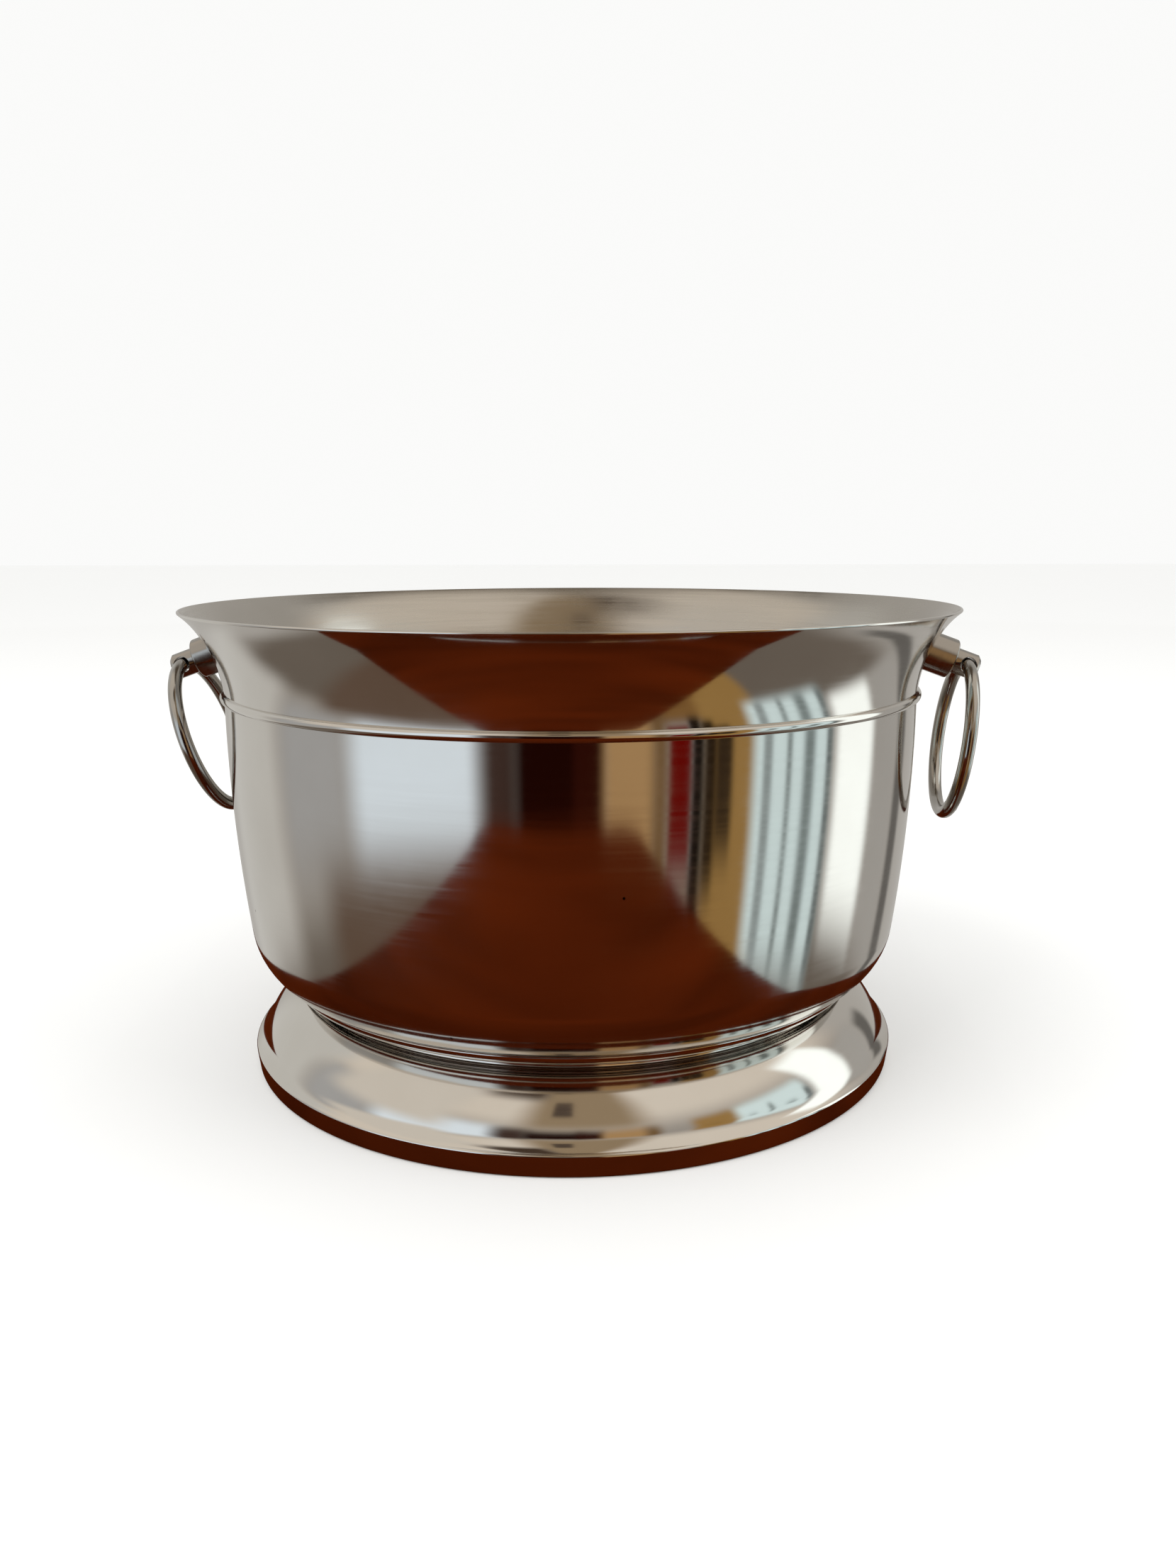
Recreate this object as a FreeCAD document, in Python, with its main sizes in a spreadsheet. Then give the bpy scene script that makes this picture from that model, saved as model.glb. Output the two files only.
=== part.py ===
# Champagne bucket on a foot, with two hanging ring handles.
#
# A spun steel bowl with a flared lip, a bead round its neck, a moulded collar and a
# spun foot soldered under it, and on each side a turned lug that carries a loose ring.
# Millimetres. +Z up, the bucket's axis is Z, the foot rests on z = 0 and the lugs lie
# on the X axis. Each sheet-metal outline is a chain of lines and tangent arcs.
import FreeCAD, Part
import Sketcher
import math
import os

from FreeCAD import Placement, Rotation, Vector

doc = FreeCAD.newDocument("champagne_bucket")

# ---------------------------------------------------------------- driving dimensions

DIMENSIONS = [
    # the spun bowl, from the middle of its floor outwards and up to the lip
    ("bowl_gauge", 1.2, "thickness of the bowl's sheet"),
    ("floor_height", 36.95, "underside of the bowl's floor above the table"),
    ("floor_radius", 116.75, "flat part of the floor"),
    ("corner_bend", 29.0, "outer radius of the bend from floor to wall"),
    ("corner_sweep", 82.0, "degrees turned by that bend"),
    ("wall_bend", 724.0, "radius of the wall's slight barrel"),
    ("wall_sweep", 8.2, "degrees turned by the wall"),
    ("neck_bend", 1.5, "small radius where the flare starts, behind the bead"),
    ("neck_sweep", 4.9, "degrees turned there"),
    ("flare_bend", 56.7, "radius of the flare, which sweeps out like a bell"),
    ("flare_sweep", 32.0, "degrees turned by the flare"),
    ("lip_bend", 32.8, "tighter radius of the lip"),
    ("lip_sweep", 16.0, "degrees turned by the lip"),
    # the bead soldered round the neck
    ("bead_seat", 152.56, "radius of the bead's back, against the wall"),
    ("bead_foot", 163.1, "height of the bead's lower edge"),
    ("bead_bend", 165.4, "height where its back turns out along the flare"),
    ("bead_head", 167.2, "height of its upper edge"),
    ("bead_brow", 152.75, "radius of its upper edge"),
    ("bead_bulge", 2.07, "radius of its half-round face"),
    # the collar soldered round the bowl's corner
    ("collar_bore", 124.0, "inner radius of the collar"),
    ("collar_base", 36.9, "height of its flat underside"),
    ("collar_foot", 127.6, "outer radius of its flat underside"),
    ("collar_inner_head", 37.63, "height of its inner face's upper edge"),
    ("collar_brow", 130.6, "radius where it dies into the bowl"),
    ("collar_head", 40.24, "height where it dies into the bowl"),
    ("collar_bulge", 3.3, "radius of its rounded face"),
    # the spun foot, from the hem's inner edge round to the flange under the bowl
    ("foot_gauge", 1.2, "thickness of the foot's sheet"),
    ("hem_radius", 137.5, "inner edge of the turned-in hem"),
    ("hem_width", 6.2, "flat width of the hem"),
    ("hem_bend", 1.6, "radius between hem and band"),
    ("hem_sweep", 82.0, "degrees turned there"),
    ("band_height", 6.9, "straight height of the foot's band"),
    ("ridge_bend", 1.3, "radius of the ridge over the band"),
    ("ridge_sweep", 67.0, "degrees turned over the ridge"),
    ("flick_bend", 10.0, "hollow radius above the ridge"),
    ("flick_sweep", 36.5, "degrees turned by the hollow"),
    ("dome_bend", 38.0, "full radius of the foot's shoulder"),
    ("dome_sweep", 36.0, "degrees turned by the shoulder"),
    ("crest_bend", 2.0, "radius of the foot's top edge"),
    ("crest_sweep", 31.5, "degrees turned by the top edge"),
    ("crest_width", 2.4, "flat width inside the top edge"),
    ("throat_bend", 1.5, "radius at each end of the throat"),
    ("throat_sweep", 90.0, "degrees turned at each end of the throat"),
    ("throat_height", 1.53, "straight height of the throat"),
    ("flange_width", 17.0, "flat width of the flange soldered to the floor"),
    ("solder_inner", 101.0, "inner edge of the solder fillet"),
    ("solder_outer", 102.8, "where the solder meets the flange's edge"),
    ("solder_base", 35.8, "lowest edge of the solder"),
    ("solder_head", 36.93, "height of the solder's top, against the floor"),
    # the lugs, measured along their own axis from the outside of the wall
    ("lug_reach", 156.643, "distance from the bucket's axis to a lug's root"),
    ("lug_height", 182.391, "height of the lug's root"),
    ("lug_tilt", 20.3, "degrees the lug points below level"),
    ("gasket_radius", 8.8, "outer radius of the dark washer"),
    ("gasket_depth", 1.2, "how far the dark washer stands off the wall on the lug's axis"),
    ("gasket_sink", 0.5, "how far its edge reaches back along the curving wall"),
    ("former_gauge", 3.0, "thickness of the tool that shapes its back to the wall"),
    ("boss_radius", 9.0, "radius of the turned boss"),
    ("boss_length", 14.17, "length of the boss"),
    ("boss_edge", 0.8, "rounding of the boss's outer edge"),
    ("eye_radius", 5.75, "radius of the eye that carries the ring"),
    ("eye_length", 12.0, "length of the eye"),
    ("eye_edge", 1.4, "chamfer on the eye's end"),
    ("eye_bore", 3.6, "radius of the cross hole"),
    ("bore_offset", 6.72, "cross hole's distance from the boss"),
    ("shank_radius", 3.0, "radius of the threaded shank"),
    ("shank_gap", 0.08, "clearance round the shank"),
    ("washer_radius", 6.5, "outer radius of the washer inside the bowl"),
    ("washer_depth", 1.2, "thickness of that washer"),
    ("washer_lift", 0.2, "gap left by the wall's curve under a flat washer"),
    ("nut_flats", 10.0, "width of the cap nut across its flats"),
    ("nut_depth", 4.0, "height of the nut's six flats"),
    ("nut_dome", 4.6, "radius of the nut's dome"),
    ("thread_depth", 5.0, "length of shank inside the nut"),
    ("nut_bore", 5.5, "depth of the nut's blind bore"),
    # the ring handles
    ("ring_radius", 34.0, "radius of the ring's centre line"),
    ("wire_radius", 3.0, "radius of the ring's wire"),
    ("ring_centering", 0.25, "rise of the wire's crown in the cross hole"),
    ("right_lean", 7.0, "degrees the right ring hangs in towards the wall"),
    ("right_skew", -3.0, "degrees it has turned sideways in its loose hole"),
    ("left_lean", 18.0, "degrees the left ring hangs in towards the wall"),
    ("left_skew", 0.0, "degrees it has turned sideways in its loose hole"),
]

sheet = doc.addObject("Spreadsheet::Sheet", "Dims")
for row, (alias, value, note) in enumerate(DIMENSIONS, start=1):
    sheet.set("A%d" % row, alias)
    sheet.set("B%d" % row, str(value))
    sheet.set("C%d" % row, note)
    sheet.setAlias("B%d" % row, alias)
doc.recompute()


def size(alias):
    """The number that the sheet holds under a name."""
    return float(getattr(sheet, alias))


# ---------------------------------------------------------------- turned outlines

def bind(sketch, number, name, expression):
    """Name one of the sketch's constraints and tie it to the sheet."""
    sketch.renameConstraint(number, name)
    sketch.setExpression("Constraints." + name, expression)


def pin_down(sketch, piece, end, place):
    """Fix an end of a piece at a radius and a height, each an alias or None for zero."""
    for kind, alias, axis in zip(("DistanceX", "DistanceY"), place, (-2, -1)):
        if alias:
            distance = Sketcher.Constraint(kind, -1, 1, piece, end, size(alias))
            bind(sketch, sketch.addConstraint(distance), "at_%d_%s" % (piece, kind[-1]), "Dims." + alias)
        else:
            sketch.addConstraint(Sketcher.Constraint("PointOnObject", piece, end, axis))


def trace(sketch, start, heading, moves):
    """Draw a chain of tangent lines and arcs and dimension every one from the sheet.

    start is the first point as two aliases, radius (or None on the axis) and height.
    heading is in degrees anticlockwise from outwards. A move is ("line", length),
    ("left", radius, sweep) or ("right", radius, sweep), and its sizes are aliases.
    """
    x, z = (size(alias) if alias else 0.0 for alias in start)
    angle = math.radians(heading)
    previous = None
    for number, move in enumerate(moves):
        names = ["Dims." + alias for alias in move[1:]]
        sizes = [float(sheet.evalExpression(name)) for name in names]
        if move[0] == "line":
            ahead = Vector(x + sizes[0] * math.cos(angle), z + sizes[0] * math.sin(angle), 0)
            piece = sketch.addGeometry(Part.LineSegment(Vector(x, z, 0), ahead))
            first, last = 1, 2
        else:
            turn = 1 if move[0] == "left" else -1
            radius, sweep = sizes[0], turn * math.radians(sizes[1])
            centre = Vector(x - turn * radius * math.sin(angle), z + turn * radius * math.cos(angle), 0)
            begin = angle - turn * math.pi / 2
            end = begin + sweep
            circle = Part.Circle(centre, Vector(0, 0, 1), radius)
            arc = Part.ArcOfCircle(circle, min(begin, end), max(begin, end))
            piece = sketch.addGeometry(arc)
            first, last = (1, 2) if turn > 0 else (2, 1)
            angle += sweep
            ahead = centre + Vector(radius * math.cos(end), radius * math.sin(end), 0)
        if previous is None:
            pin_down(sketch, piece, first, start)
            sketch.addConstraint(Sketcher.Constraint("Horizontal", piece))
        else:
            sketch.addConstraint(Sketcher.Constraint("Tangent", previous[0], previous[1], piece, first))
        if move[0] == "line":
            constraint = sketch.addConstraint(Sketcher.Constraint("Distance", piece, sizes[0]))
            bind(sketch, constraint, "run_%d" % number, names[0])
        else:
            constraint = sketch.addConstraint(Sketcher.Constraint("Radius", piece, sizes[0]))
            bind(sketch, constraint, "bend_%d" % number, names[0])
            constraint = sketch.addConstraint(Sketcher.Constraint("Angle", piece, math.radians(sizes[1])))
            bind(sketch, constraint, "sweep_%d" % number, names[1] + " * 1 deg")
        previous = (piece, last)
        x, z = ahead.x, ahead.y


def upright_sketch(name):
    """A sketch whose x runs outwards along X and whose y runs up along Z."""
    sketch = doc.addObject("Sketcher::SketchObject", name)
    sketch.Placement = Placement(Vector(), Rotation(Vector(1, 0, 0), 90))
    return sketch


def turned(label, section):
    """Spin a section once round the Z axis into a solid."""
    solid = doc.addObject("Part::Revolution", label)
    solid.Source = section
    solid.Axis = Vector(0, 0, 1)
    solid.Angle = 360
    solid.Solid = True
    solid.Label = label
    return solid


def spun_shell(label, start, moves, gauge, side):
    """Spin sheet metal whose outer face follows a traced outline.

    side is 1 to lay the sheet's thickness on the left of the outline, else -1.
    """
    outline = upright_sketch(label + "_outline")
    trace(outline, start, 0, moves)
    section = doc.addObject("Part::Offset2D", label + "_section")
    section.Source = outline
    section.Mode = "Skin"
    section.Fill = True
    section.Join = "Intersection"
    section.setExpression("Value", "%d * Dims.%s" % (side, gauge))
    return turned(label, section)


def closed_section(name, corners):
    """Draw a closed section from corners (radius, height, bend), every size an alias.

    bend is None for a straight side to the next corner, or the alias of the radius of
    an arc that bows away from the bucket's axis. Corners run anticlockwise.
    """
    sketch = upright_sketch(name)
    places = [Vector(size(radius), size(height), 0) for radius, height, _ in corners]
    for number, (radius, height, bend) in enumerate(corners):
        here, there = places[number], places[(number + 1) % len(places)]
        if bend is None:
            piece = sketch.addGeometry(Part.LineSegment(here, there))
        else:
            half = (there - here) / 2
            rise = math.sqrt(size(bend) ** 2 - half.Length ** 2)
            centre = here + half + Vector(-half.y, half.x, 0).normalize() * rise
            begin, end = (math.atan2(p.y - centre.y, p.x - centre.x) for p in (here, there))
            circle = Part.Circle(centre, Vector(0, 0, 1), size(bend))
            piece = sketch.addGeometry(Part.ArcOfCircle(circle, begin, end))
            constraint = sketch.addConstraint(Sketcher.Constraint("Radius", piece, size(bend)))
            bind(sketch, constraint, "bend_%d" % piece, "Dims." + bend)
        pin_down(sketch, piece, 1, (radius, height))
        if number:
            sketch.addConstraint(Sketcher.Constraint("Coincident", piece - 1, 2, piece, 1))
    sketch.addConstraint(Sketcher.Constraint("Coincident", len(corners) - 1, 2, 0, 1))
    return sketch


# ---------------------------------------------------------------- the vessel

BOWL_START = (None, "floor_height")
BOWL_OUTLINE = [
    ("line", "floor_radius"),
    ("left", "corner_bend", "corner_sweep"),
    ("left", "wall_bend", "wall_sweep"),
    ("right", "neck_bend", "neck_sweep"),
    ("right", "flare_bend", "flare_sweep"),
    ("right", "lip_bend", "lip_sweep"),
]
bowl_shell = spun_shell("bowl_shell", BOWL_START, BOWL_OUTLINE, "bowl_gauge", 1)
wall_former = spun_shell("wall_former", BOWL_START, BOWL_OUTLINE, "former_gauge", 1)

bead = turned("neck_bead", closed_section("neck_bead_section", [
    ("bead_seat", "bead_foot", "bead_bulge"),
    ("bead_brow", "bead_head", None),
    ("bead_seat", "bead_bend", None),
]))

collar = turned("base_collar", closed_section("base_collar_section", [
    ("collar_bore", "collar_base", None),
    ("collar_foot", "collar_base", "collar_bulge"),
    ("collar_brow", "collar_head", None),
    ("collar_bore", "collar_inner_head", None),
]))

foot = spun_shell("foot", ("hem_radius", None), [
    ("line", "hem_width"),
    ("left", "hem_bend", "hem_sweep"),
    ("line", "band_height"),
    ("left", "ridge_bend", "ridge_sweep"),
    ("right", "flick_bend", "flick_sweep"),
    ("left", "dome_bend", "dome_sweep"),
    ("left", "crest_bend", "crest_sweep"),
    ("line", "crest_width"),
    ("right", "throat_bend", "throat_sweep"),
    ("line", "throat_height"),
    ("left", "throat_bend", "throat_sweep"),
    ("line", "flange_width"),
], "foot_gauge", 1)

solder = turned("foot_solder", closed_section("foot_solder_section", [
    ("solder_outer", "solder_base", None),
    ("solder_outer", "solder_head", None),
    ("solder_inner", "solder_head", None),
]))


# ---------------------------------------------------------------- the lugs and rings

SIDES = [("right", 0), ("left", 180)]


def lug_place(turn):
    """A lug's frame: Z runs out of the wall along the lug, X lies square to it, upwards."""
    root = Vector(size("lug_reach"), 0, size("lug_height"))
    outwards = Placement(root, Rotation(Vector(0, 1, 0), 90 + size("lug_tilt")))
    return Placement(Vector(), Rotation(Vector(0, 0, 1), turn)).multiply(outwards)


def turned_disc(name, radius, start, length):
    """A cylinder on the lug's own axis, from start outwards; sizes are expressions."""
    disc = doc.addObject("Part::Cylinder", name)
    disc.setExpression("Radius", radius)
    disc.setExpression("Height", length)
    disc.setExpression("Placement.Base.z", start)
    return disc


def bored(name, outer, bore):
    """One solid with another one's shape taken out of it."""
    cut = doc.addObject("Part::Cut", name)
    cut.Base = outer
    cut.Tool = bore
    return cut


def round_edges(shape, radius, height):
    """Numbers of the round edges of one radius that lie at one height."""
    fuzz = 1e-6
    return [number for number, edge in enumerate(shape.Edges, start=1)
            if isinstance(edge.Curve, Part.Circle)
            and abs(edge.Curve.Radius - radius) < fuzz
            and abs(edge.Curve.Center.z - height) < fuzz]


def shank_bore(name):
    """A drill for the shank that runs past both ends of any piece threaded on it."""
    radius = "Dims.shank_radius + Dims.shank_gap"
    return turned_disc(name, radius, "-Dims.boss_length", "3 * Dims.boss_length")


def gasket(side, turn):
    """The dark washer between the wall and the boss, its back shaped by the curving wall."""
    outer = turned_disc(side + "_gasket_blank", "Dims.gasket_radius", "-Dims.gasket_sink",
                        "Dims.gasket_sink + Dims.gasket_depth")
    ring_blank = bored(side + "_gasket_ring", outer, shank_bore(side + "_gasket_bore"))
    ring_blank.Placement = lug_place(turn)
    return bored(side + "_gasket", ring_blank, wall_former)


def boss(side):
    """The turned boss, rounded on its outer edge and bored for the shank."""
    blank = turned_disc(side + "_boss_blank", "Dims.boss_radius", "Dims.gasket_depth", "Dims.boss_length")
    doc.recompute()
    top = size("gasket_depth") + size("boss_length")
    edges = round_edges(blank.Shape, size("boss_radius"), top)
    rounded = doc.addObject("Part::Fillet", side + "_boss_rounded")
    rounded.Base = blank
    rounded.Edges = [(number, size("boss_edge"), size("boss_edge")) for number in edges]
    return bored(side + "_boss", rounded, shank_bore(side + "_boss_bore"))


def eye(side):
    """The eye with its cross hole and, in one piece with it, the threaded shank."""
    start = "Dims.gasket_depth + Dims.boss_length"
    blank = turned_disc(side + "_eye_blank", "Dims.eye_radius", start, "Dims.eye_length")
    doc.recompute()
    top = size("gasket_depth") + size("boss_length") + size("eye_length")
    chamfer = doc.addObject("Part::Chamfer", side + "_eye_chamfered")
    chamfer.Base = blank
    chamfer.Edges = [(number, size("eye_edge"), size("eye_edge"))
                     for number in round_edges(blank.Shape, size("eye_radius"), top)]
    inside = "Dims.bowl_gauge + Dims.washer_lift + Dims.washer_depth + Dims.thread_depth"
    shank = turned_disc(side + "_shank", "Dims.shank_radius", "-(%s)" % inside, "%s + %s" % (inside, start))
    stud = doc.addObject("Part::Fuse", side + "_stud_blank")
    stud.Base = chamfer
    stud.Tool = shank
    hole = doc.addObject("Part::Cylinder", side + "_cross_hole")
    hole.setExpression("Radius", "Dims.eye_bore")
    hole.setExpression("Height", "4 * Dims.eye_radius")
    hole.Placement = Placement(Vector(), Rotation(Vector(1, 0, 0), 90))
    hole.setExpression("Placement.Base.y", "2 * Dims.eye_radius")
    hole.setExpression("Placement.Base.z", start + " + Dims.bore_offset")
    return bored(side + "_eye", stud, hole)


def wall_hole(side, turn):
    """The drill that opens the bowl's wall for one lug's shank."""
    drill = doc.addObject("Part::Cylinder", side + "_wall_drill")
    drill.setExpression("Radius", "Dims.shank_radius + Dims.shank_gap")
    drill.setExpression("Height", "6 * Dims.bowl_gauge")
    drill.Placement = lug_place(turn).multiply(Placement(Vector(0, 0, -3 * size("bowl_gauge")), Rotation()))
    return drill


def inner_washer(side):
    """The flat washer inside the bowl."""
    start = "-(Dims.bowl_gauge + Dims.washer_lift + Dims.washer_depth)"
    outer = turned_disc(side + "_washer_blank", "Dims.washer_radius", start, "Dims.washer_depth")
    return bored(side + "_inner_washer", outer, shank_bore(side + "_washer_bore"))


def cap_nut(side):
    """A hexagon with a domed end, drilled part of the way for the shank."""
    seat = "Dims.bowl_gauge + Dims.washer_lift + Dims.washer_depth"
    flats = doc.addObject("Part::Prism", side + "_nut_flats")
    flats.Polygon = 6
    flats.setExpression("Circumradius", "Dims.nut_flats / sqrt(3)")
    flats.setExpression("Height", "Dims.nut_depth")
    flats.setExpression("Placement.Base.z", "-(%s + Dims.nut_depth)" % seat)
    dome = doc.addObject("Part::Sphere", side + "_nut_dome")
    dome.setExpression("Radius", "Dims.nut_dome")
    dome.Angle1 = -90
    dome.Angle2 = 0
    dome.setExpression("Placement.Base.z", "-(%s + Dims.nut_depth)" % seat)
    blank = doc.addObject("Part::Fuse", side + "_nut_blank")
    blank.Base = flats
    blank.Tool = dome
    bore = turned_disc(side + "_nut_bore", "Dims.shank_radius + Dims.shank_gap",
                       "-(%s + Dims.nut_bore)" % seat, "2 * Dims.nut_bore")
    return bored(side + "_cap_nut", blank, bore)


def ring_place(side, turn):
    """The ring hangs from the cross hole, its bottom leaning in towards the wall."""
    reach = size("gasket_depth") + size("boss_length") + size("bore_offset")
    hole = lug_place(turn).multVec(Vector(0, 0, reach))
    facing = Rotation(Vector(0, 0, 1), turn + size(side + "_skew"))
    hang = Vector(0, 0, size("ring_centering") - size("ring_radius"))
    swing = facing.multiply(Rotation(Vector(0, 1, 0), size(side + "_lean")))
    return Placement(hole + swing.multVec(hang), swing.multiply(Rotation(Vector(0, 1, 0), 90)))


def ring(side):
    """A loop of round wire, butt welded and polished."""
    loop = doc.addObject("Part::Torus", side + "_ring")
    loop.setExpression("Radius1", "Dims.ring_radius")
    loop.setExpression("Radius2", "Dims.wire_radius")
    return loop


vessel = bowl_shell
nodes = {"neck_bead": bead, "base_collar": collar, "foot": foot, "foot_solder": solder}
for side, turn in SIDES:
    nodes[side + "_gasket"] = gasket(side, turn)
    pieces = {"boss": boss(side), "eye": eye(side), "inner_washer": inner_washer(side),
              "cap_nut": cap_nut(side)}
    for name, piece in pieces.items():
        piece.Placement = lug_place(turn)
        nodes[side + "_" + name] = piece
    nodes[side + "_ring"] = ring(side)
    nodes[side + "_ring"].Placement = ring_place(side, turn)
    vessel = bored("bowl_bored_" + side, vessel, wall_hole(side, turn))
nodes["bowl"] = vessel

# ---------------------------------------------------------------- check and write

doc.recompute()
for item in doc.Objects:
    if "Invalid" in item.State or "Error" in item.State:
        raise RuntimeError("%s did not compute: %s" % (item.Name, item.State))

os.makedirs("parts", exist_ok=True)
for name, piece in nodes.items():
    piece.Label = name
    if piece.Shape.isNull() or not piece.Shape.isValid() or len(piece.Shape.Solids) != 1:
        raise RuntimeError("%s is not one valid solid" % name)
    piece.Shape.exportStep("parts/%s.step" % name)
    print("%-20s %10.1f mm3" % (name, piece.Shape.Volume))
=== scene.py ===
import math

import bpy
import numpy as np
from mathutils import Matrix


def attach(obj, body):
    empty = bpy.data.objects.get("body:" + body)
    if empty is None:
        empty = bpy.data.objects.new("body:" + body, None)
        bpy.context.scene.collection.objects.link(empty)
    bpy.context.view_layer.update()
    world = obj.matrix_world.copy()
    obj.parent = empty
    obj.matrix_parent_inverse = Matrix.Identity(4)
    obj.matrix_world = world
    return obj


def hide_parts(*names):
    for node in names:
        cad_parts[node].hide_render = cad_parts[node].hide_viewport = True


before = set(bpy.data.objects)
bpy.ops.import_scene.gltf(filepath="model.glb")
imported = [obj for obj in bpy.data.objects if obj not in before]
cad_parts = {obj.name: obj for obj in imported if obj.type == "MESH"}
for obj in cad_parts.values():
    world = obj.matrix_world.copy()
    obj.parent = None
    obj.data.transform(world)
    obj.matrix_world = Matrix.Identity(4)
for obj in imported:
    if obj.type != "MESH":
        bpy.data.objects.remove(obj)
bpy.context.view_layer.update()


# ---------------------------------------------------------------- the bowl
# One disc of 1.2 mm stainless steel, spun over a former into floor, wall and a flare that
# opens like a bell to a plain rounded lip. Outside it is buffed to a mirror that still shows
# the spinning lines; inside it is satin. The lugs' gaskets and washers hide its two holes.

MM = 0.001
JOIN, JOIN_SHIFT = 0.003, 0.137


def outline(start, heading, moves):
    """Points and headings of a chain of tangent lines and arcs in the (radius, height) plane.

    A line runs on along the heading. An arc of radius R turns about the point R to the left
    or right of where it starts, so each of its points is that centre plus R along the turned
    normal, and the heading turns with it.
    """
    place, heading = np.array(start, float), math.radians(heading)
    points, headings = [place[None]], [np.array([heading])]
    for kind, length, *sweep in moves:
        if kind == "line":
            steps = np.linspace(0, 1, max(2, int(length / 2.5)) + 1)[1:, None]
            run = place + steps * length * np.array([math.cos(heading), math.sin(heading)])
            turned = np.full(len(steps), heading)
        else:
            side = 1 if kind == "left" else -1
            angle = side * math.radians(sweep[0])
            count = max(4, int(abs(angle) * length / 2.5), int(sweep[0] / 6)) + 1
            turned = heading + angle * np.linspace(0, 1, count)[1:]
            centre = place + side * length * np.array([-math.sin(heading), math.cos(heading)])
            run = centre + side * length * np.stack([np.sin(turned), -np.cos(turned)], axis=1)
            heading += angle
        points.append(run)
        headings.append(turned)
        place = run[-1]
    return np.concatenate(points), np.concatenate(headings)


def right_of(headings):
    """The normals on the right-hand side: each heading turned back a quarter turn."""
    return np.stack([np.sin(headings), -np.cos(headings)], axis=1)


def half_round(place, heading, gauge, end):
    """The rounded cut edge of a sheet: half a circle about the middle of its thickness, from
    the outer face's side round to the inner face's side."""
    normal = right_of(np.array([heading]))[0]
    ahead = (1 if end else -1) * np.array([math.cos(heading), math.sin(heading)])
    swing = np.radians(np.arange(15, 180, 15))[:, None]
    normals = np.cos(swing) * normal + np.sin(swing) * ahead
    return place - gauge / 2 * normal + gauge / 2 * normals, normals


def sheet_section(start, heading, moves, gauge, first_edge):
    """Closed section of a spun sheet: its outer face, the rounded edge at its end, and its
    inner face, which is the outer one moved by the gauge along the left-hand normal. A sheet
    whose start isn't on the axis has a rounded edge there too."""
    points, headings = outline(start, heading, moves)
    normals = right_of(headings)
    end, end_normals = half_round(points[-1], headings[-1], gauge, True)
    inner = points - gauge * normals
    parts, facing = [points, end, inner[::-1]], [normals, end_normals, -normals[::-1]]
    if first_edge:
        edge, edge_normals = half_round(points[0], headings[0], gauge, False)
        parts += [edge[::-1], points[:1]]
        facing += [edge_normals[::-1], normals[:1]]
    rows = np.cumsum([len(part) for part in parts])
    return np.concatenate(parts), np.concatenate(facing), rows


def spun(section, normals, turn=np.linspace(0, 2 * np.pi, 289)):
    """A section carried round the Z axis: radius times cosine and sine of the turn, and the
    section's height. Its UV is the length along the section and the length round it."""
    cosine, sine = np.cos(turn), np.sin(turn)
    cosine[-1], sine[-1] = 1.0, 0.0
    radius, height = section[:, :1], section[:, 1:]
    grid = np.stack([radius * cosine, radius * sine, height + 0 * turn], axis=-1)
    out, up = normals[:, :1], normals[:, 1:]
    facing = np.stack([out * cosine, out * sine, up + 0 * turn], axis=-1)
    along = np.concatenate([[0], np.cumsum(np.linalg.norm(np.diff(section, axis=0), axis=1))])
    uv = np.stack(np.meshgrid(along, turn * section[:, 0].max(), indexing="ij"), axis=-1)
    return grid, facing, uv


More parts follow.
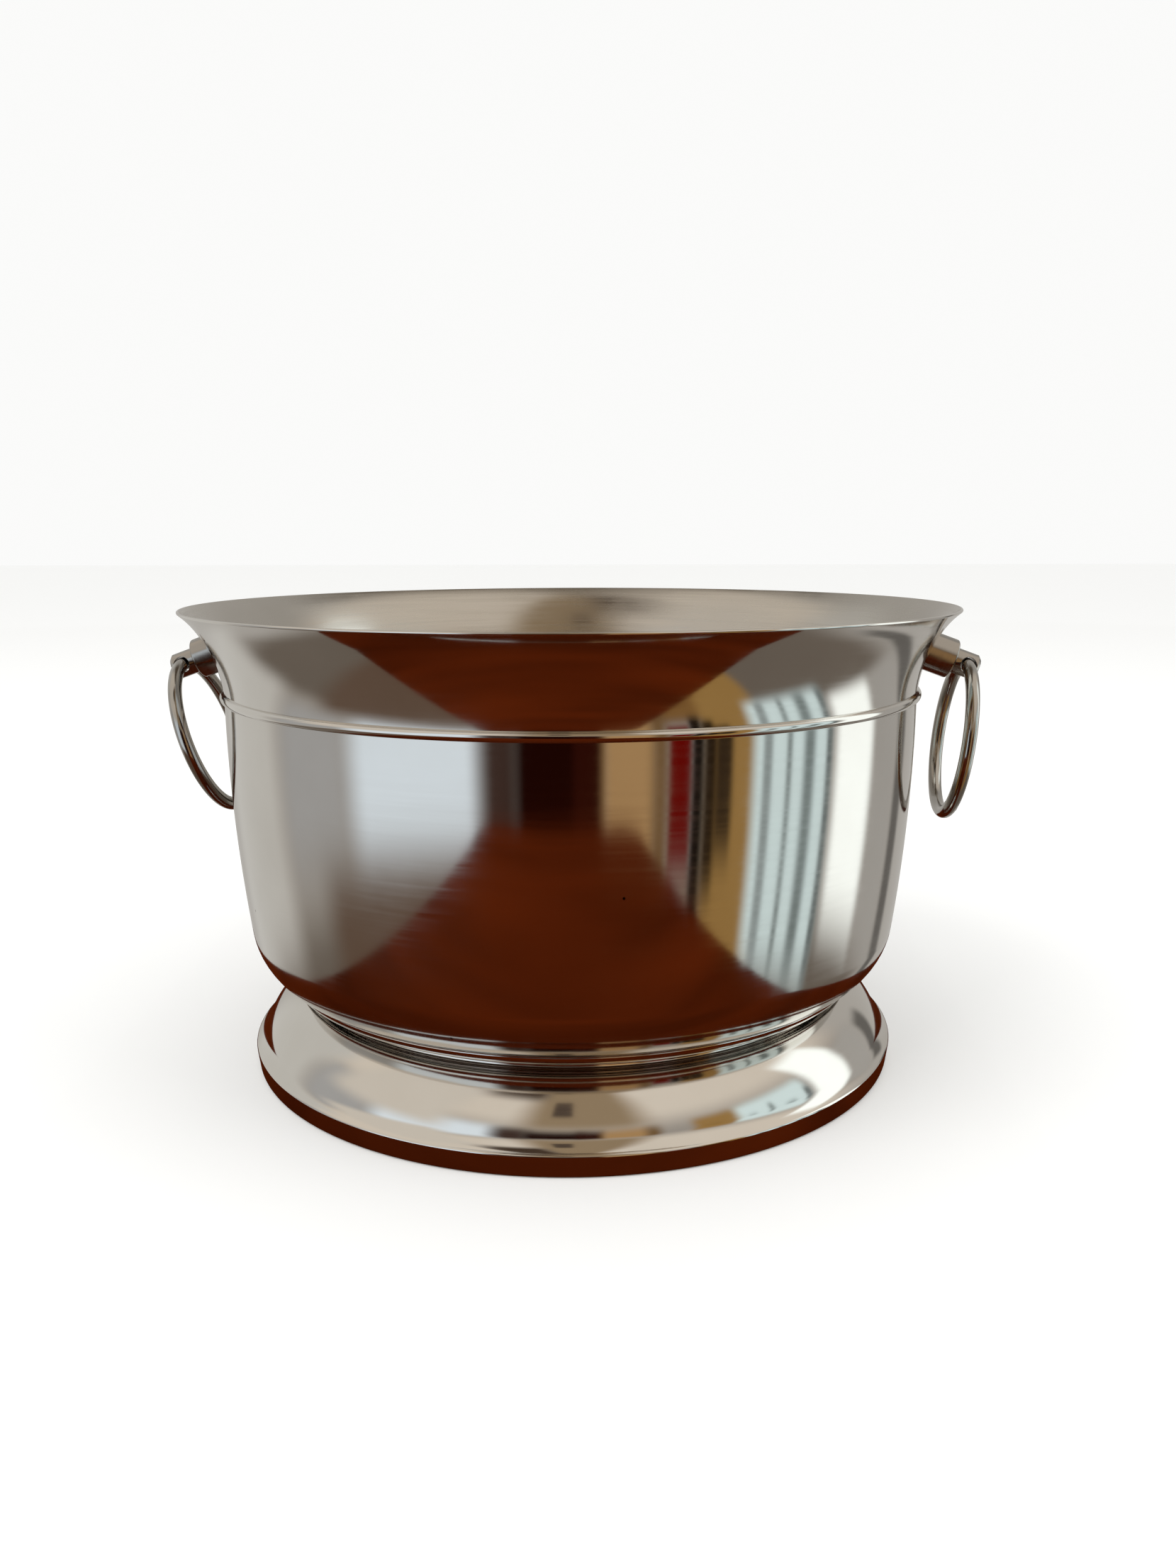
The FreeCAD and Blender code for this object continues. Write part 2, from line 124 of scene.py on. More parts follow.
def piece(name, patches, body, node_name, materials, second=(0, 0)):
    """Join grids of points into one closed mesh. Each cell of a grid is a quad, or a triangle
    at a pole; points that round to the same 3 microns become one; each corner keeps the exact
    normal of its surface. The rows named by second take the second material."""
    points = np.concatenate([grid.reshape(-1, 3) for grid, _, _ in patches])
    facing = np.concatenate([normals.reshape(-1, 3) for _, normals, _ in patches])
    uvs = np.concatenate([uv.reshape(-1, 2) for _, _, uv in patches])
    corners, finish, first = [], [], 0
    for grid, _, _ in patches:
        rows, columns = grid.shape[:2]
        index = first + np.arange(rows * columns).reshape(rows, columns)
        cells = [index[:-1, :-1], index[1:, :-1], index[1:, 1:], index[:-1, 1:]]
        corners.append(np.stack(cells, axis=-1).reshape(-1, 4))
        row = np.repeat(np.arange(rows - 1), columns - 1)
        finish.append((row >= second[0]) & (row < second[1]))
        first += rows * columns
    corners, finish = np.concatenate(corners), np.concatenate(finish)
    across = points[corners[:, 2]] - points[corners[:, 0]]
    over = points[corners[:, 3]] - points[corners[:, 1]]
    inward = (np.cross(across, over) * facing[corners].sum(axis=1)).sum(axis=1) < 0
    corners[inward] = corners[inward][:, ::-1]

    # The shift keeps round millimetres, where grids meet, away from where rounding flips.
    key = np.round(points / JOIN + JOIN_SHIFT).astype(np.int64)
    _, kept, shared = np.unique(key, axis=0, return_index=True, return_inverse=True)
    shared = shared.ravel()
    joined = shared[corners]
    distinct = joined != np.roll(joined, -1, axis=1)
    whole = distinct.sum(axis=1) >= 3
    corners, joined, distinct, finish = (x[whole] for x in (corners, joined, distinct, finish))
    starts = np.concatenate([[0], np.cumsum(distinct.sum(axis=1))[:-1]])

    mesh = bpy.data.meshes.new(name)
    mesh.vertices.add(len(kept))
    mesh.vertices.foreach_set("co", (points[kept] * MM).ravel())
    mesh.loops.add(int(distinct.sum()))
    mesh.loops.foreach_set("vertex_index", joined[distinct].astype(np.int32))
    mesh.polygons.add(len(joined))
    mesh.polygons.foreach_set("loop_start", starts.astype(np.int32))
    mesh.polygons.foreach_set("material_index", finish.astype(np.int32))
    mesh.update(calc_edges=True)
    mesh.uv_layers.new(name="UVMap").data.foreach_set("uv", (uvs[corners[distinct]] * MM).ravel())
    mesh.validate(clean_customdata=False)
    mesh.normals_split_custom_set(facing[corners[distinct]])
    for material in materials:
        mesh.materials.append(material)
    made = bpy.data.objects.new(name, mesh)
    bpy.context.scene.collection.objects.link(made)
    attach(made, body)
    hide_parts(node_name)
    return made


def colour(code):
    """An sRGB hex colour as linear light, by the sRGB curve: a short straight toe, then a
    power of 2.4."""
    share = np.array([int(code[i:i + 2], 16) for i in (1, 3, 5)]) / 255
    linear = np.where(share <= 0.04045, share / 12.92, ((share + 0.055) / 1.055) ** 2.4)
    return (*linear.tolist(), 1.0)


def add(tree, kind, inputs, **settings):
    """Add one node: settings are its properties, inputs the values or links of its sockets,
    by their numbers or names."""
    made = tree.nodes.new(kind)
    for name, value in settings.items():
        setattr(made, name, value)
    for name, value in inputs.items():
        if isinstance(value, bpy.types.NodeSocket):
            tree.links.new(value, made.inputs[name])
        else:
            made.inputs[name].default_value = value
    return made.outputs


def surface(name):
    """A new material, its tree and its surface shader."""
    material = bpy.data.materials.new(name)
    material.use_nodes = True
    return material, material.node_tree, material.node_tree.nodes["Principled BSDF"]


def lathe_steel(name, tints, roughness, line_gap, line_depth, stretch, pit=0.0):
    """Stainless steel cut and buffed on a lathe. Every stroke leaves a line round the piece,
    so it mirrors sharply sideways and smears what it mirrors up and down. The colour and
    dullness drift over patches a hand wide, as the buffing wheel left them."""
    material, tree, steel = surface(name)
    place = add(tree, "ShaderNodeTexCoord", {})
    flat = add(tree, "ShaderNodeSeparateXYZ", {0: place["UV"]})
    solid = add(tree, "ShaderNodeSeparateXYZ", {0: place["Object"]})

    # The lines: noise that changes every line_gap across them and every 60 mm along them.
    across = add(tree, "ShaderNodeMath", {0: flat["X"], 1: 1 / (line_gap * MM)},
                 operation="MULTIPLY")
    along_x = add(tree, "ShaderNodeMath", {0: solid["X"], 1: 1 / (60 * MM)}, operation="MULTIPLY")
    along_y = add(tree, "ShaderNodeMath", {0: solid["Y"], 1: 1 / (60 * MM)}, operation="MULTIPLY")
    stroke = add(tree, "ShaderNodeCombineXYZ", {0: along_x[0], 1: along_y[0], 2: across[0]})
    lines = add(tree, "ShaderNodeTexNoise", {"Vector": stroke[0], "Scale": 1.0, "Detail": 3.0,
                                             "Roughness": 0.6})
    # The buffing: patches about 45 mm across, with smaller ones in them.
    patch = add(tree, "ShaderNodeTexNoise", {"Vector": place["Object"], "Scale": 1 / (45 * MM),
                                             "Detail": 4.0, "Roughness": 0.55})
    fine = add(tree, "ShaderNodeMapRange", {0: lines[0], 1: 0.3, 2: 0.7, 3: 0.8, 4: 1.25})
    broad = add(tree, "ShaderNodeMapRange", {0: patch[0], 1: 0.35, 2: 0.7, 3: 0.85, 4: 1.3})
    mixed = add(tree, "ShaderNodeMath", {0: fine[0], 1: broad[0]}, operation="MULTIPLY")
    rough = add(tree, "ShaderNodeMath", {0: mixed[0], 1: roughness}, operation="MULTIPLY")
    tree.links.new(rough[0], steel.inputs["Roughness"])

    tone = add(tree, "ShaderNodeMix", {0: patch[0], 6: colour(tints[0]), 7: colour(tints[1])},
               data_type="RGBA")
    if pit:
        # Pits where a speck was pulled out in buffing, one to a patch of about 130 mm. Each pit is
        # painted near-black in the colour, as painted shade inside it.
        spread = add(tree, "ShaderNodeTexVoronoi", {"Vector": place["UV"], "Scale": 1 / (130 * MM)},
                     voronoi_dimensions="2D")
        hole = add(tree, "ShaderNodeMath", {0: spread["Distance"], 1: pit / 2 / 130},
                   operation="LESS_THAN")
        tone = add(tree, "ShaderNodeMix", {0: hole[0], 6: tone[2], 7: colour("#15110f")},
                   data_type="RGBA")
    tree.links.new(tone[2], steel.inputs["Base Color"])

    relief = add(tree, "ShaderNodeBump", {"Height": lines[0], "Strength": 1.0,
                                          "Distance": line_depth * MM})
    tree.links.new(relief[0], steel.inputs["Normal"])
    tangent = add(tree, "ShaderNodeTangent", {}, direction_type="UV_MAP", uv_map="UVMap")
    tree.links.new(tangent[0], steel.inputs["Tangent"])
    steel.inputs["Metallic"].default_value = 1.0
    steel.inputs["Anisotropic"].default_value = stretch
    return material


# Mirror-buffed 18/10 stainless steel: a faintly warm grey. It gives the eye clean vertical
# reflections, blurred a little up and down by the spinning lines.
buffed_steel = lathe_steel("mirror_buffed_stainless_steel", ("#cbc6bf", "#dad6d0"), 0.085,
                           1.6, 0.0012, 0.75, pit=1.1)
# The inside of the bowl, satin from the finishing pad: a soft grey sheen, no clear reflection.
satin_steel = lathe_steel("satin_spun_stainless_steel", ("#bdb8b0", "#cfcac2"), 0.24,
                          1.6, 0.004, 0.7)

SHEET = 1.2
bowl_section, bowl_normals, bowl_rows = sheet_section(
    (0, 36.95), 0,
    [("line", 116.75), ("left", 29, 82), ("left", 724, 8.2), ("right", 1.5, 4.9),
     ("right", 56.7, 32), ("right", 32.8, 15.45)], SHEET, False)
piece("bowl_spun", [spun(bowl_section, bowl_normals)], "vessel", "bowl",
      [buffed_steel, satin_steel], (bowl_rows[1], bowl_rows[2]))


# ---------------------------------------------------------------- the bead round the neck
# A drawn half-round stainless wire, closed to a hoop, pressed over the bowl where the wall
# turns into the flare, tinned on and buffed with it, so that it reads as one bright line.

bead_arc, bead_heading = outline((152.56, 163.1), 4.9, [("left", 2.07, 164.9)])
bead_section = np.concatenate([bead_arc, [(152.56, 165.4)], bead_arc[:1]])
bead_normals = np.concatenate([right_of(bead_heading), [(-1, 0), (-1, 0)]])
trim_steel = lathe_steel("buffed_stainless_trim", ("#cfcac3", "#dedad4"), 0.07, 0.8, 0.0006, 0.5)
piece("neck_bead_hoop", [spun(bead_section, bead_normals)], "vessel", "neck_bead",
      [trim_steel])


# ---------------------------------------------------------------- the collar under the bowl
# A rolled stainless moulding between the bowl's round bottom corner and the foot. It carries
# the bowl's edge all round and hides the seam; a fine dark groove shows on each side of it.

collar_arc, collar_heading = outline((127.6, 36.93), 5.2, [("left", 3.3, 85.7)])
collar_section = np.concatenate([collar_arc, [(124, 37.63), (124, 36.93)], collar_arc[:1]])
collar_normals = np.concatenate([right_of(collar_heading), [(-0.4, 0.9), (-1, 0), (0, -1)]])
piece("base_collar_moulding", [spun(collar_section, collar_normals)], "vessel", "base_collar",
      [trim_steel])


# ---------------------------------------------------------------- the foot
# A second spun sheet of 1.2 mm: a turned-in ground lip, a low upright band, a hollow sweep up
# to a round crest, and a flange set down inside it that the bowl's floor rests on.

foot_section, foot_normals, foot_rows = sheet_section(
    (138.1, 0), 0,
    [("line", 5.6), ("left", 1.6, 82), ("line", 6.9), ("left", 1.3, 67), ("right", 10, 36.5),
     ("left", 38, 36), ("left", 2.0, 31.5), ("line", 2.4), ("right", 1.5, 90), ("line", 1.53),
     ("left", 1.5, 90), ("line", 16.4)], SHEET, True)
foot_steel = lathe_steel("mirror_buffed_foot_steel", ("#d3cec6", "#e0dcd6"), 0.075,
                         1.4, 0.0010, 0.65, pit=0.9)
piece("foot_spun", [spun(foot_section, foot_normals)], "vessel", "foot",
      [foot_steel, satin_steel], (foot_rows[1], foot_rows[2]))


# ---------------------------------------------------------------- the solder under the floor
# A fillet of tin-silver solder, run in from below where the foot's flange ends under the
# bowl's floor. It is dull grey, lumpy from the iron, and only shows with the bucket upturned.

solder_arc, solder_heading = outline((101.0, 36.93), -54, [("left", 2.836, 44)])
solder_section = np.concatenate([solder_arc, [(102.8, 36.93)], solder_arc[:1]])
solder_normals = np.concatenate([right_of(solder_heading), [(1, 0), (0, 1)]])
# Tin-silver solder, wiped while hot: a soft grey with no clear reflection, in lumps of 4 mm.
solder, tree, shader = surface("wiped_tin_silver_solder")
place = add(tree, "ShaderNodeTexCoord", {})
lumps = add(tree, "ShaderNodeTexNoise", {"Vector": place["Object"], "Scale": 1 / (4 * MM),
                                         "Detail": 4.0})
tone = add(tree, "ShaderNodeMix", {0: lumps[0], 6: colour("#8e8d8b"), 7: colour("#b9b8b5")},
           data_type="RGBA")
dull = add(tree, "ShaderNodeMapRange", {0: lumps[0], 1: 0.3, 2: 0.7, 3: 0.28, 4: 0.5})
relief = add(tree, "ShaderNodeBump", {"Height": lumps[0], "Strength": 1.0, "Distance": 0.4 * MM})
tree.links.new(tone[2], shader.inputs["Base Color"])
tree.links.new(dull[0], shader.inputs["Roughness"])
tree.links.new(relief[0], shader.inputs["Normal"])
shader.inputs["Metallic"].default_value = 1.0
piece("foot_solder_fillet", [spun(solder_section, solder_normals)], "vessel", "foot_solder",
      [solder])


# ---------------------------------------------------------------- the gaskets
# A pad of black EPDM rubber under each boss, its back moulded to the bell of the flare. It
# keeps melt water from the hole and shows as a dark wedge that opens downwards.

LUG_ROOT, LUG_TILT = (156.643, 0, 182.391), math.radians(20.3)
BELL_CENTRE, BELL_R = (209.024, 160.685), 56.7
PAD_FRONT, PAD_GAP = 1.2, 0.02
SIDES = {"right": 1, "left": -1}


def on_lug(patches, side):
    """Patches made about the Z axis, set on a lug: Z becomes the lug's axis, which leaves the
    wall outwards and 20.3 degrees below level, and the left one is the right one turned half
    round the bucket's axis."""
    down, out = math.sin(LUG_TILT), math.cos(LUG_TILT)
    turned = np.array([(-down, 0, -out), (0, 1, 0), (out, 0, -down)])
    half = np.diag([SIDES[side], SIDES[side], 1])
    return [((grid @ turned + LUG_ROOT) @ half, normals @ turned @ half, uv)
            for grid, normals, uv in patches]


def washer(outer, bore, low, high, edge):
    """Section of a flat washer: out along its low face, round its rim with two small edge
    radii, and back along its high face to the bore."""
    points, headings = outline(
        (bore, low), 0, [("line", outer - bore - edge), ("left", edge, 90),
                         ("line", high - low - 2 * edge), ("left", edge, 90),
                         ("line", outer - bore - edge)])
    return np.concatenate([points, points[:1]]), np.concatenate([right_of(headings), [(-1, 0)]])


# EPDM rubber, moulded and a little dusty: black going grey, matt, with a grain of 0.6 mm.
rubber, tree, shader = surface("moulded_epdm_rubber")
place = add(tree, "ShaderNodeTexCoord", {})
grain = add(tree, "ShaderNodeTexNoise", {"Vector": place["Object"], "Scale": 1 / (0.6 * MM),
                                         "Detail": 3.0})
tone = add(tree, "ShaderNodeMix", {0: grain[0], 6: colour("#101010"), 7: colour("#262524")},
           data_type="RGBA")
dull = add(tree, "ShaderNodeMapRange", {0: grain[0], 1: 0.3, 2: 0.7, 3: 0.6, 4: 0.85})
relief = add(tree, "ShaderNodeBump", {"Height": grain[0], "Strength": 0.6, "Distance": 0.05 * MM})
tree.links.new(tone[2], shader.inputs["Base Color"])
tree.links.new(dull[0], shader.inputs["Roughness"])
tree.links.new(relief[0], shader.inputs["Normal"])


def gasket_patches():
    """A flat front 1.2 mm out along the lug, and a back that lies on the flare. The flare is
    an arc of 56.7 mm spun round Z about a circle of centres; from each point of the back the
    step along the lug is the distance left to that arc over its slope, taken six times."""
    grid, normals, uv = spun(*washer(8.8, 3.1, 0, PAD_FRONT, 0.25))
    ahead, down = math.cos(LUG_TILT), math.sin(LUG_TILT)
    back = 0 * grid[..., 2]
    for _ in range(6):
        out = LUG_ROOT[0] + back * ahead - grid[..., 0] * down
        up = LUG_ROOT[2] - back * down - grid[..., 0] * ahead - BELL_CENTRE[1]
        out = np.hypot(out, grid[..., 1]) - BELL_CENTRE[0]
        slope = (out * ahead - up * down) / BELL_R
        back = back - (np.hypot(out, up) - BELL_R) / slope
    share = grid[..., 2] / PAD_FRONT
    height = share * PAD_FRONT + (1 - share) * (back + PAD_GAP)
    return [(np.concatenate([grid[..., :2], height[..., None]], axis=-1), normals, uv)]


for side in SIDES:
    piece(f"{side}_rubber_gasket", on_lug(gasket_patches(), side), "vessel", f"{side}_gasket",
          [rubber])


# ---------------------------------------------------------------- the bosses
# A round boss turned from 18 mm stainless bar with its outer edge eased, and a shank on its
# back that goes through the wall. Its flat face and rim keep the cutter's fine rings.

turned_steel = lathe_steel("turned_stainless_bar", ("#9c9791", "#b3aea8"), 0.15, 0.7, 0.0022, 0.6)
boss_points, boss_headings = outline(
    (0, -7.55), 0, [("line", 2.6), ("left", 0.4, 90), ("line", 8.05), ("right", 0.3, 90),
                    ("line", 5.4), ("left", 0.3, 90), ("line", 13.07), ("left", 0.8, 90),
                    ("line", 8.2)])
for side in SIDES:
    piece(f"{side}_turned_boss", on_lug([spun(boss_points, right_of(boss_headings))], side),
          "vessel", f"{side}_boss", [turned_steel])


# ---------------------------------------------------------------- the eyes
# A stub of 11.5 mm bar screwed into each boss, with a chamfered end and a 7.2 mm hole across
# it for the ring. The mouth of the hole is eased and rubbed bright by the ring.

EYE_R, EYE_LOW, EYE_TOP, HOLE_AT, HOLE_R, EASE = 5.75, 15.37, 27.37, 22.09, 3.6, 0.2
CHAMFER = 1.4


def eye_patches():
    """Half of the stub's side is a ring of cells between the hole's mouth and the borders of
    that half, in the plane of turn and height: (1 - w) times the mouth plus w times the
    border. The hole is a straight tube whose ends follow the stub's side. The two ends are
    spun from the same turns as the borders, so that everything meets."""
    t = np.radians(np.arange(0, 361, 3.75))
    mouth = HOLE_R + EASE
    square = np.stack([np.cos(t), np.sin(t)]) / np.maximum(abs(np.cos(t)), abs(np.sin(t)))
    mouth_turn, mouth_height = np.arccos(mouth * np.cos(t) / EYE_R), mouth * np.sin(t)
    room = np.where(square[1] > 0, EYE_TOP - CHAMFER - HOLE_AT, HOLE_AT - EYE_LOW)
    border_turn, border_height = np.pi / 2 * (1 - square[0]), square[1] * room
    w = np.linspace(0, 1, 13)[:, None] ** 1.3
    turn = (1 - w) * mouth_turn + w * border_turn
    height = HOLE_AT + (1 - w) * mouth_height + w * border_height
    patches = []
    for face in (1, -1):
        normals = np.stack([np.cos(turn), face * np.sin(turn), 0 * turn], axis=-1)
        grid = EYE_R * normals + height[..., None] * np.array([0, 0, 1])
        patches.append((grid, normals, np.stack([height, EYE_R * turn], axis=-1)))

    swing = np.radians(np.arange(0, 91, 15))[:, None]
    rim = np.stack([np.cos(mouth_turn), np.sin(mouth_turn), 0 * t], axis=-1)
    hollow = np.stack([-np.cos(t), 0 * t, -np.sin(t)], axis=-1)
    reach = mouth - EASE * np.sin(swing)
    depth = EYE_R * np.sin(mouth_turn) - EASE * (1 - np.cos(swing))
    lip = np.stack([reach * np.cos(t), depth, HOLE_AT + reach * np.sin(t)], axis=-1)
    lip_normals = np.cos(swing)[..., None] * rim + np.sin(swing)[..., None] * hollow
    share = np.linspace(1, -1, 9)[1:-1, None, None]
    tube = np.concatenate([lip, lip[-1] * [1, 0, 1] + share * lip[-1] * [0, 1, 0],
                           lip[::-1] * [1, -1, 1]])
    tube_normals = np.concatenate([lip_normals, 0 * share + hollow,
                                   lip_normals[::-1] * [1, -1, 1]])
    step = np.linalg.norm(np.diff(tube, axis=0), axis=-1)
    along = np.concatenate([0 * t[None], np.cumsum(step, axis=0)])
    patches.append((tube, tube_normals, np.stack([along, HOLE_R * t + 0 * along], axis=-1)))

    quarter = slice(12, 37)
    half_turn = border_turn[quarter]
    whole_turn = np.concatenate([half_turn, 2 * np.pi - half_turn[-2::-1]])
    cone = math.sqrt(0.5)
    steps = [((EYE_R, EYE_TOP - CHAMFER), (EYE_R - CHAMFER, EYE_TOP), (cone, cone)),
             ((EYE_R - CHAMFER, EYE_TOP), (0, EYE_TOP), (0, 1)),
             ((0, EYE_LOW), (EYE_R, EYE_LOW), (0, -1))]
    for low, high, normal in steps:
        section = np.linspace(low, high, 4)
        patches.append(spun(section, np.tile(np.array(normal, float), (4, 1)), whole_turn))
    return patches


for side in SIDES:
    piece(f"{side}_drilled_eye", on_lug(eye_patches(), side), "vessel", f"{side}_eye",
          [turned_steel])


# ---------------------------------------------------------------- the washers inside
# A flat stainless washer against the inside of the flare, under each nut.

pressed_steel = lathe_steel("pressed_stainless_washer", ("#aeaaa4", "#c4c0ba"), 0.2, 0.9,
                            0.003, 0.4)
for side in SIDES:
    patches = [spun(*washer(6.5, 3.1, -2.6, -1.4, 0.25))]
    piece(f"{side}_flat_washer", on_lug(patches, side), "vessel", f"{side}_inner_washer",
          [pressed_steel])


# ---------------------------------------------------------------- the cap nuts inside
# An M6 cap nut, 10 mm across its flats, cold formed and polished: six flats, a turned 30
# degree chamfer, and a dome that keeps the thread off knuckles and ice.

FLAT, NUT_LOW, NUT_TOP, DOME_R, SEAT_R = 5.0, -2.6, -6.6, 4.6, 4.9


def nut_patches():
    """Each flat lies 5 mm from the axis; its points are that far out and up to tan 30 of it
    sideways. Its top edge drops by tan 30 of what it stands out past the chamfer's circle.
    The base, the chamfer, the seat and the dome are spun from the same turns."""
    sideways = FLAT * math.tan(math.radians(30)) * np.linspace(-1, 1, 13)
    radius = np.hypot(FLAT, sideways)
    edge = NUT_TOP + (radius - SEAT_R) * math.tan(math.radians(30))
    w = np.linspace(0, 1, 5)[:, None]
    patches, turns = [], []
    for turn in np.radians(np.arange(0, 360, 60)):
        out = np.array([np.cos(turn), np.sin(turn), 0])
        across = np.array([-np.sin(turn), np.cos(turn), 0])
        height = (1 - w) * NUT_LOW + w * edge
        grid = FLAT * out + sideways[:, None] * across + height[..., None] * np.array([0, 0, 1])
        patches.append((grid, 0 * grid + out, np.stack([height, sideways + 0 * height], axis=-1)))
        turns.append(turn + np.arctan2(sideways, FLAT)[:-1])
    turn = np.concatenate(turns + [turns[0][:1] + 2 * np.pi])
    radius = np.append(np.tile(radius[:-1], 6), radius[0])
    edge = np.append(np.tile(edge[:-1], 6), edge[0])
    radial = np.stack([np.cos(turn), np.sin(turn), 0 * turn], axis=-1)
    up = np.array([0, 0, 1])
    rise = np.radians(np.arange(0, 91, 7.5))[:, None, None]

    def ring(reach, height):
        return (reach + 0 * turn)[:, None] * radial + (height + 0 * turn)[:, None] * up

    def band(rings, normals):
        grid = np.stack(rings)
        length = np.concatenate([0 * turn[None], np.cumsum(
            np.linalg.norm(np.diff(grid, axis=0), axis=-1), axis=0)])
        return grid, normals + 0 * grid, np.stack([length, FLAT * turn + 0 * length], axis=-1)

    lean = math.radians(30)
    patches.append(band([ring(0, NUT_LOW), ring(3.0, NUT_LOW), ring(radius, NUT_LOW)], up))
    patches.append(band([ring(radius, edge), ring(SEAT_R, NUT_TOP)],
                        math.sin(lean) * radial - math.cos(lean) * up))
    patches.append(band([ring(SEAT_R, NUT_TOP), ring(DOME_R, NUT_TOP)], -up))
    dome_normals = np.cos(rise) * radial - np.sin(rise) * up
    dome = DOME_R * dome_normals + NUT_TOP * up
    dome[-1] = (0, 0, NUT_TOP - DOME_R)
    patches.append(band(list(dome), dome_normals))
    return patches


formed_steel = lathe_steel("polished_cold_formed_nut_steel", ("#b7b2ab", "#cbc7c0"), 0.12, 1.0,
                           0.001, 0.3)
for side in SIDES:
    piece(f"{side}_dome_nut", on_lug(nut_patches(), side), "vessel", f"{side}_cap_nut",
          [formed_steel])


# ---------------------------------------------------------------- the rings
# Six millimetre stainless wire bent to a 68 mm ring through each eye, butt-welded and
# polished. It swings on its eye. The right one has also turned a little in its loose hole,
# and the left one has come to rest close to the wall, which mirrors it.

RING_R, WIRE_R, HANG = 34.0, 3.0, 33.75
PIVOT = np.array([177.360967, 0, 174.727191])


def ring_patch(side, lean, skew, weld_at):
    """Round the ring by one angle and round its wire by another: the centre plus the ring's
    radius outwards plus the wire's radius along the wire's normal. The wire's radius swells
    by 0.1 mm in a bell curve 1.6 mm wide at the weld."""
    a = np.linspace(0, 2 * np.pi, 385)[:, None]
    b = np.linspace(0, 2 * np.pi, 49)[None]
    lean, skew = math.radians(lean), math.radians(skew)
    inward = np.array([math.cos(skew), math.sin(skew), 0]) * SIDES[side]
    up = math.sin(lean) * inward + np.array([0, 0, math.cos(lean)])
    sideways = np.array([-math.sin(skew), math.cos(skew), 0])
    through = np.cross(up, sideways)
    middle = PIVOT * [SIDES[side], 1, 1] - HANG * up
    cosine, sine = np.cos(a), np.sin(a)
    cosine[-1], sine[-1] = 1.0, 0.0
    out = cosine[..., None] * up + sine[..., None] * sideways
    round_cos, round_sin = np.cos(b), np.sin(b)
    round_cos[:, -1], round_sin[:, -1] = 1.0, 0.0
    normals = round_cos[..., None] * out + round_sin[..., None] * through
    wire = WIRE_R + 0.1 * np.exp(-((a - math.radians(weld_at)) * RING_R / 0.8) ** 2)
    grid = middle + RING_R * out + wire[..., None] * normals
    uv = np.stack([WIRE_R * b + 0 * a, RING_R * a + 0 * b], axis=-1)
    return grid, normals, uv


ring_steel = lathe_steel("polished_drawn_stainless_wire", ("#a5a19b", "#bdb9b3"), 0.11, 0.9,
                         0.001, 0.5)
for side, lean, skew, weld_at in (("right", 7, -3, 215), ("left", 18, 0, 140)):
    piece(f"{side}_ring_handle", [ring_patch(side, lean, skew, weld_at)], f"{side}_handle",
          f"{side}_ring", [ring_steel])


# ---------------------------------------------------------------- the studio floor
# A pale matt board. It lies under everything and isn't part of the bucket. The steel would
# mirror it as a white glare from below, so reflections see the wooden top instead.


def stage_board(name, half_x, half_y, height, material, middle=(0, 0), corner=0.0):
    """A flat board as one face: a rounded rectangle, each corner a quarter circle."""
    swing = np.radians(np.arange(0, 360, 6))
    sign = np.stack([np.sign(np.cos(swing) + 1e-9), np.sign(np.sin(swing) + 1e-9)], axis=1)
    edge = sign * (np.array([half_x, half_y]) - corner)
    edge = edge + corner * np.stack([np.cos(swing), np.sin(swing)], axis=1) + middle
    points = np.column_stack([edge, np.full(len(edge), height)])
    mesh = bpy.data.meshes.new(name)
    mesh.from_pydata(points.tolist(), [], [list(range(len(points)))])
    mesh.materials.append(material)
    board = bpy.data.objects.new(name, mesh)
    bpy.context.scene.collection.objects.link(board)
    return board


floor_paper, _, shader = surface("pale_matt_paper")
shader.inputs["Base Color"].default_value = colour("#fbfbfa")
shader.inputs["Roughness"].default_value = 0.9
shader.inputs["Specular IOR Level"].default_value = 0.2
floor = stage_board("studio_floor", 9.0, 9.0, 0.0, floor_paper)
floor.visible_glossy = False

# Red-brown varnished wood, seen only in the steel: warm dark stripes 60 mm wide.
wood, tree, shader = surface("dark_varnished_wood")
place = add(tree, "ShaderNodeTexCoord", {})
stretched = add(tree, "ShaderNodeMapping", {0: place["Object"], 3: (3.0, 16.0, 1.0)})
grain = add(tree, "ShaderNodeTexNoise", {"Vector": stretched[0], "Scale": 1.0, "Detail": 5.0})
tone = add(tree, "ShaderNodeMix", {0: grain[0], 6: colour("#1c0703"), 7: colour("#6c2a0d")},
           data_type="RGBA")
tree.links.new(tone[2], shader.inputs["Base Color"])
shader.inputs["Roughness"].default_value = 0.6
shader.inputs["Specular IOR Level"].default_value = 0.0
table_top = stage_board("wooden_top_for_reflections", 0.201, 0.43, 0.0003, wood, (-0.011, -0.13),
                        0.06)
table_top.visible_camera = False
table_top.visible_diffuse = False
table_top.visible_shadow = False


# ---------------------------------------------------------------- the studio lights
# A tent of soft boxes and dark flags for the steel to mirror, two large soft lamps for
# everything else, and an even pale world.

